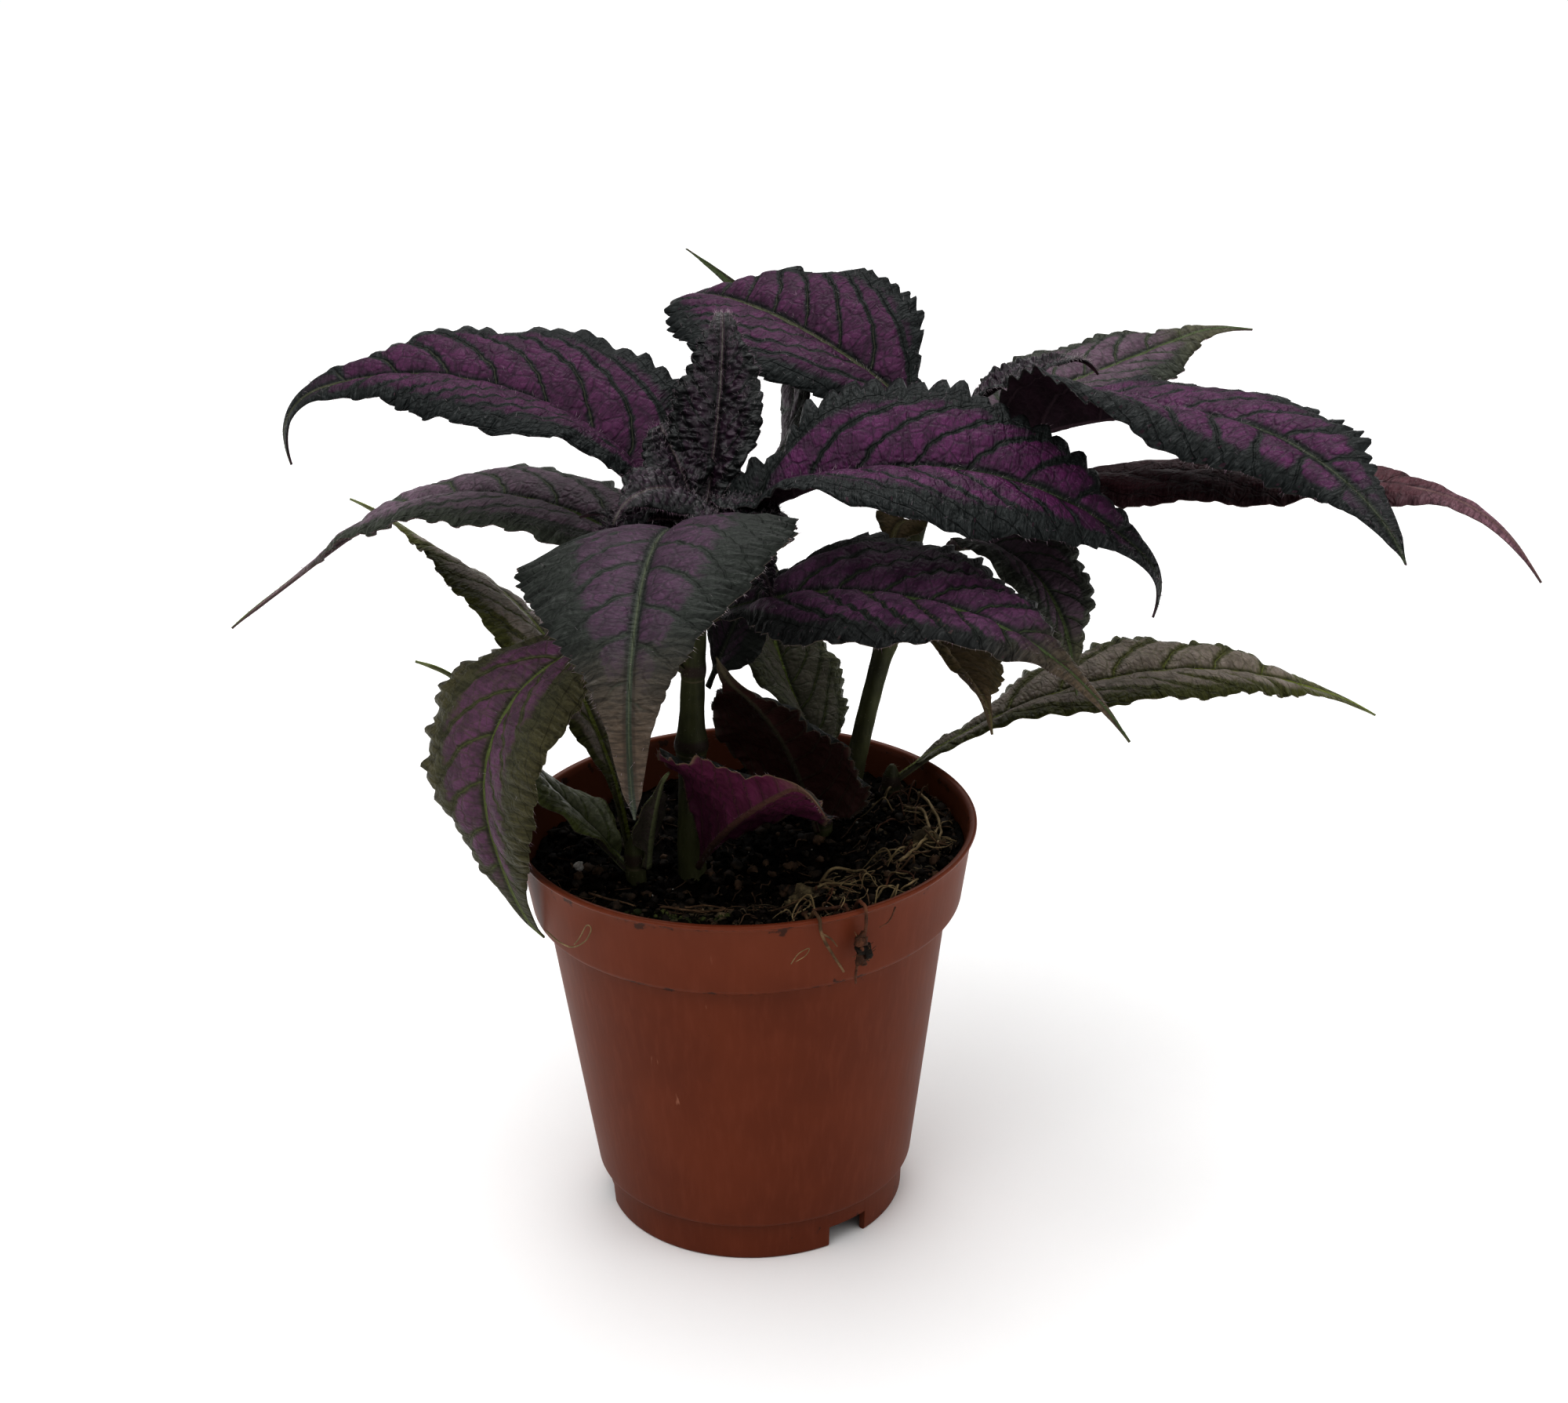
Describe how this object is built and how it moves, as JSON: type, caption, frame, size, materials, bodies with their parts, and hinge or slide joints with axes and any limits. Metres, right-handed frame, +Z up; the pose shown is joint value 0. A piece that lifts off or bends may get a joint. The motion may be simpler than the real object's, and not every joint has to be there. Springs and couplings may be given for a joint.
{
  "type": "potted persian shield",
  "caption": "Bushy foliage plant with long toothed, quilted, violet and dark green leaves on upright stems, growing in a tapered terracotta-coloured plastic nursery pot",
  "frame": {"origin": "middle of the plant's spread, on the plane that the pot's foot ring stands on", "axes": "+Z up along the pot's axis, +X to the viewer's right with the fullest side seen from the front, +Y to the back"},
  "size_m": [0.3366, 0.2567, 0.2338],
  "materials": {
    "terracotta_plastic": "moulded satin plastic, terracotta brown",
    "dark_peat": "damp fibrous potting peat",
    "stem_green": "fresh green stem with fine hairs",
    "purple_leaf": "quilted leaf with a satin violet sheen between dark veins",
    "old_leaf": "aged olive green leaf with faint violet",
    "maroon_leaf": "wine red leaf underside",
    "pale_root": "dry pale root",
    "brown_root": "dry brown root and bark crumb",
    "perlite": "white mineral grain"
  },
  "bodies": {
    "root": {"pot": "terracotta_plastic", "soil": "dark_peat", "stem_left": "stem_green", "stem_right": "stem_green", "stem_low_right": "stem_green", "stem_low_left": "stem_green", "stem_low_middle": "stem_green", "leaf_left_upper": "purple_leaf", "leaf_right_upper": "purple_leaf", "leaf_front": "purple_leaf", "leaf_left_middle": "purple_leaf", "leaf_right_middle": "purple_leaf", "leaf_crown_upright": "purple_leaf", "leaf_crown_young": "purple_leaf", "leaf_crown_left": "purple_leaf", "leaf_back_tall": "purple_leaf", "leaf_top": "purple_leaf", "leaf_right_back": "purple_leaf", "leaf_right_high": "purple_leaf", "leaf_right_far": "purple_leaf", "leaf_right_hanging": "purple_leaf", "leaf_right_tip": "purple_leaf", "leaf_right_young": "purple_leaf", "leaf_right_dry": "purple_leaf", "leaf_over_rim": "old_leaf", "leaf_right_low": "old_leaf", "leaf_left_low": "old_leaf", "leaf_left_long": "old_leaf", "leaf_olive_back": "old_leaf", "leaf_low_green": "old_leaf", "leaf_maroon_back": "maroon_leaf", "leaf_magenta_back": "maroon_leaf", "leaf_under_front": "maroon_leaf", "roots_front": "pale_root", "roots_right": "pale_root", "roots_over_rim": "brown_root", "perlite_grain": "perlite"}
  },
  "joints": []
}
